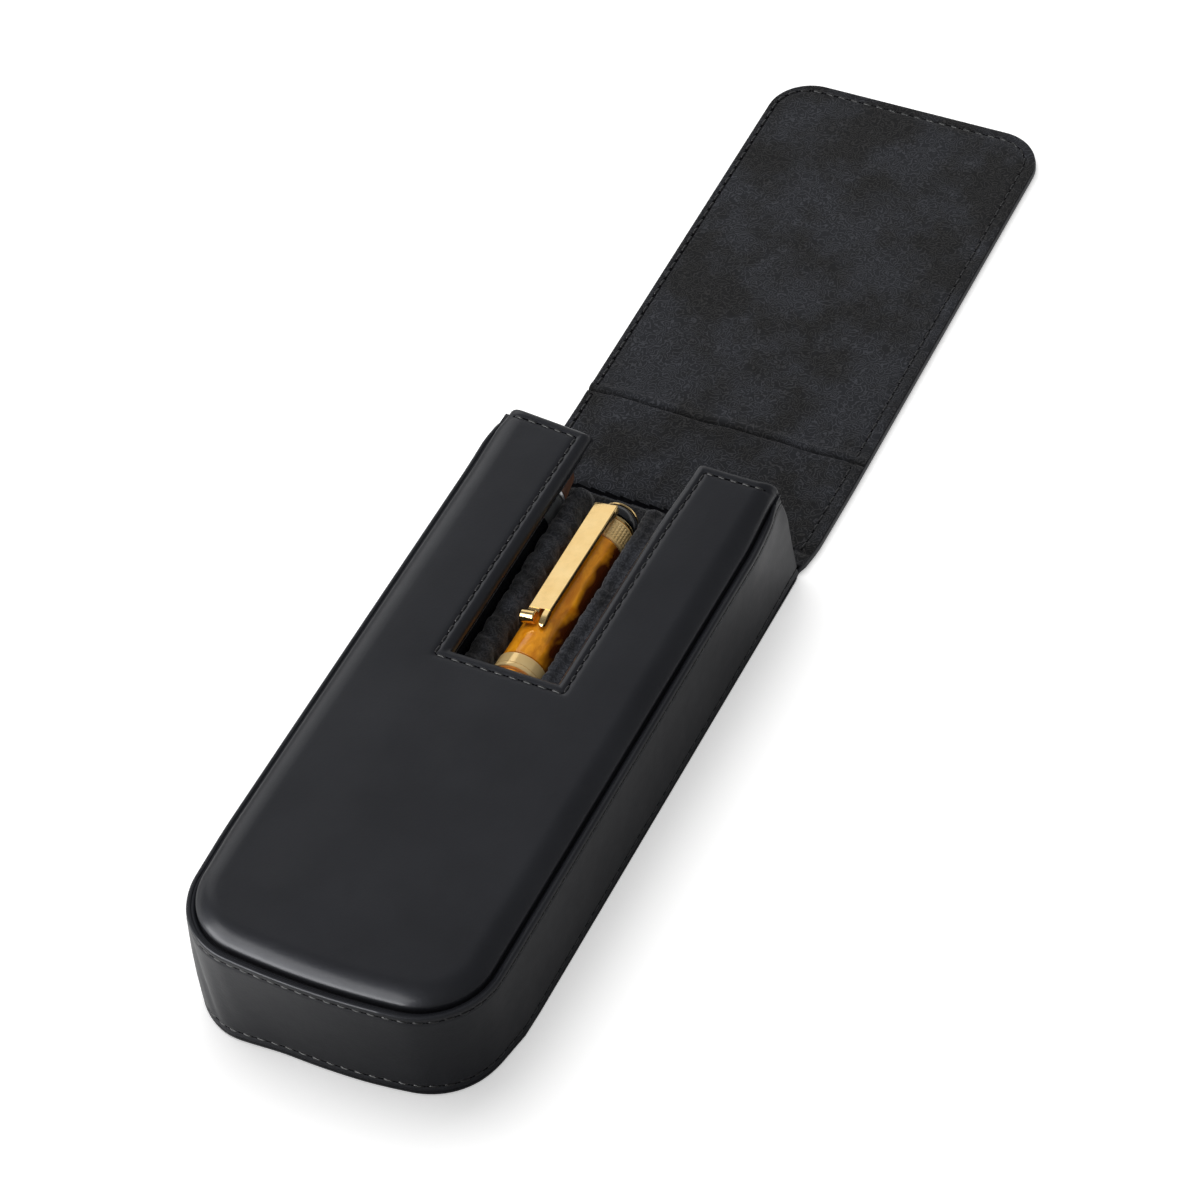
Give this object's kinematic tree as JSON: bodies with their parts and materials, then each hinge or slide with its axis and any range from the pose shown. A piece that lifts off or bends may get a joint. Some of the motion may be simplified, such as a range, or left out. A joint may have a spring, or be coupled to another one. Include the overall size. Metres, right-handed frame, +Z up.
{
  "type": "leather pen case",
  "caption": "Rigid leather pen case with a rounded closed end, a windowed padded front, padded pen slots and a folding flap, lying open with pens inside.",
  "frame": {"origin": "on the table under the middle of the whole outline, with the flap laid open", "axes": "+X across the case to the right, +Y from the closed end towards the flap's tip, +Z up from the table through the windowed front"},
  "size_m": [0.076, 0.3416, 0.0344],
  "materials": {
    "leather": "smooth black leather, soft satin sheen",
    "suede": "charcoal suede lining, matt and mottled",
    "board": "grey bookbinder's board, hidden",
    "foam": "thin padding, hidden",
    "thread": "waxed black thread",
    "steel": "plated",
    "gold": "polished gold plate",
    "amber_resin": "polished amber and brown marbled resin",
    "dark_resin": "polished black resin",
    "grey_resin": "satin dark grey",
    "brown_wood": "oiled red-brown wood"
  },
  "bodies": {
    "case": {"back_leather": "leather", "back_board": "board", "back_lining": "suede", "side_wall_leather": "leather", "side_wall_board": "board", "side_wall_lining": "suede", "front_seam_thread": "thread", "back_seam_thread": "thread", "front_leather": "leather", "front_foam": "foam", "front_board": "board", "front_lining": "suede", "front_disc_left": "steel", "front_disc_right": "steel", "window_seam_thread": "thread", "cradle_cover": "suede", "cradle_foam": "foam", "divider_cover_left": "suede", "divider_core_left": "foam", "divider_cover_right": "suede", "divider_core_right": "foam"},
    "spine": {"spine_leather": "leather", "spine_board": "board", "spine_lining": "suede", "spine_seam_thread_left": "thread", "spine_seam_thread_right": "thread"},
    "flap": {"flap_leather": "leather", "flap_board": "board", "flap_lining": "suede", "flap_magnet_left": "steel", "flap_magnet_right": "steel", "flap_seam_thread": "thread"},
    "amber_pen": {"amber_pen_finial": "dark_resin", "amber_pen_finial_ring": "gold", "amber_pen_knurled_band": "gold", "amber_pen_clip": "gold", "amber_pen_cap": "amber_resin", "amber_pen_cap_band": "gold", "amber_pen_barrel": "amber_resin", "amber_pen_end": "gold"},
    "dark_pen": {"dark_pen_finial": "brown_wood", "dark_pen_ring": "steel", "dark_pen_collar": "grey_resin", "dark_pen_barrel": "dark_resin", "dark_pen_end": "dark_resin"}
  },
  "joints": [
    {"name": "root_fold", "type": "hinge", "parent": "case", "child": "spine", "pos_m": [0, 0.00875, 0.003], "axis": [1, 0, 0], "range_deg": [0, 90]},
    {"name": "crease_fold", "type": "hinge", "parent": "spine", "child": "flap", "pos_m": [0, 0.04375, 0.003], "axis": [1, 0, 0], "range_deg": [0, 91.3]},
    {"name": "amber_pen_slide", "type": "slide", "parent": "case", "child": "amber_pen", "axis": [0, 1, 0], "range_m": [0, 0.2]},
    {"name": "dark_pen_slide", "type": "slide", "parent": "case", "child": "dark_pen", "axis": [0, 1, 0], "range_m": [0, 0.2]}
  ]
}
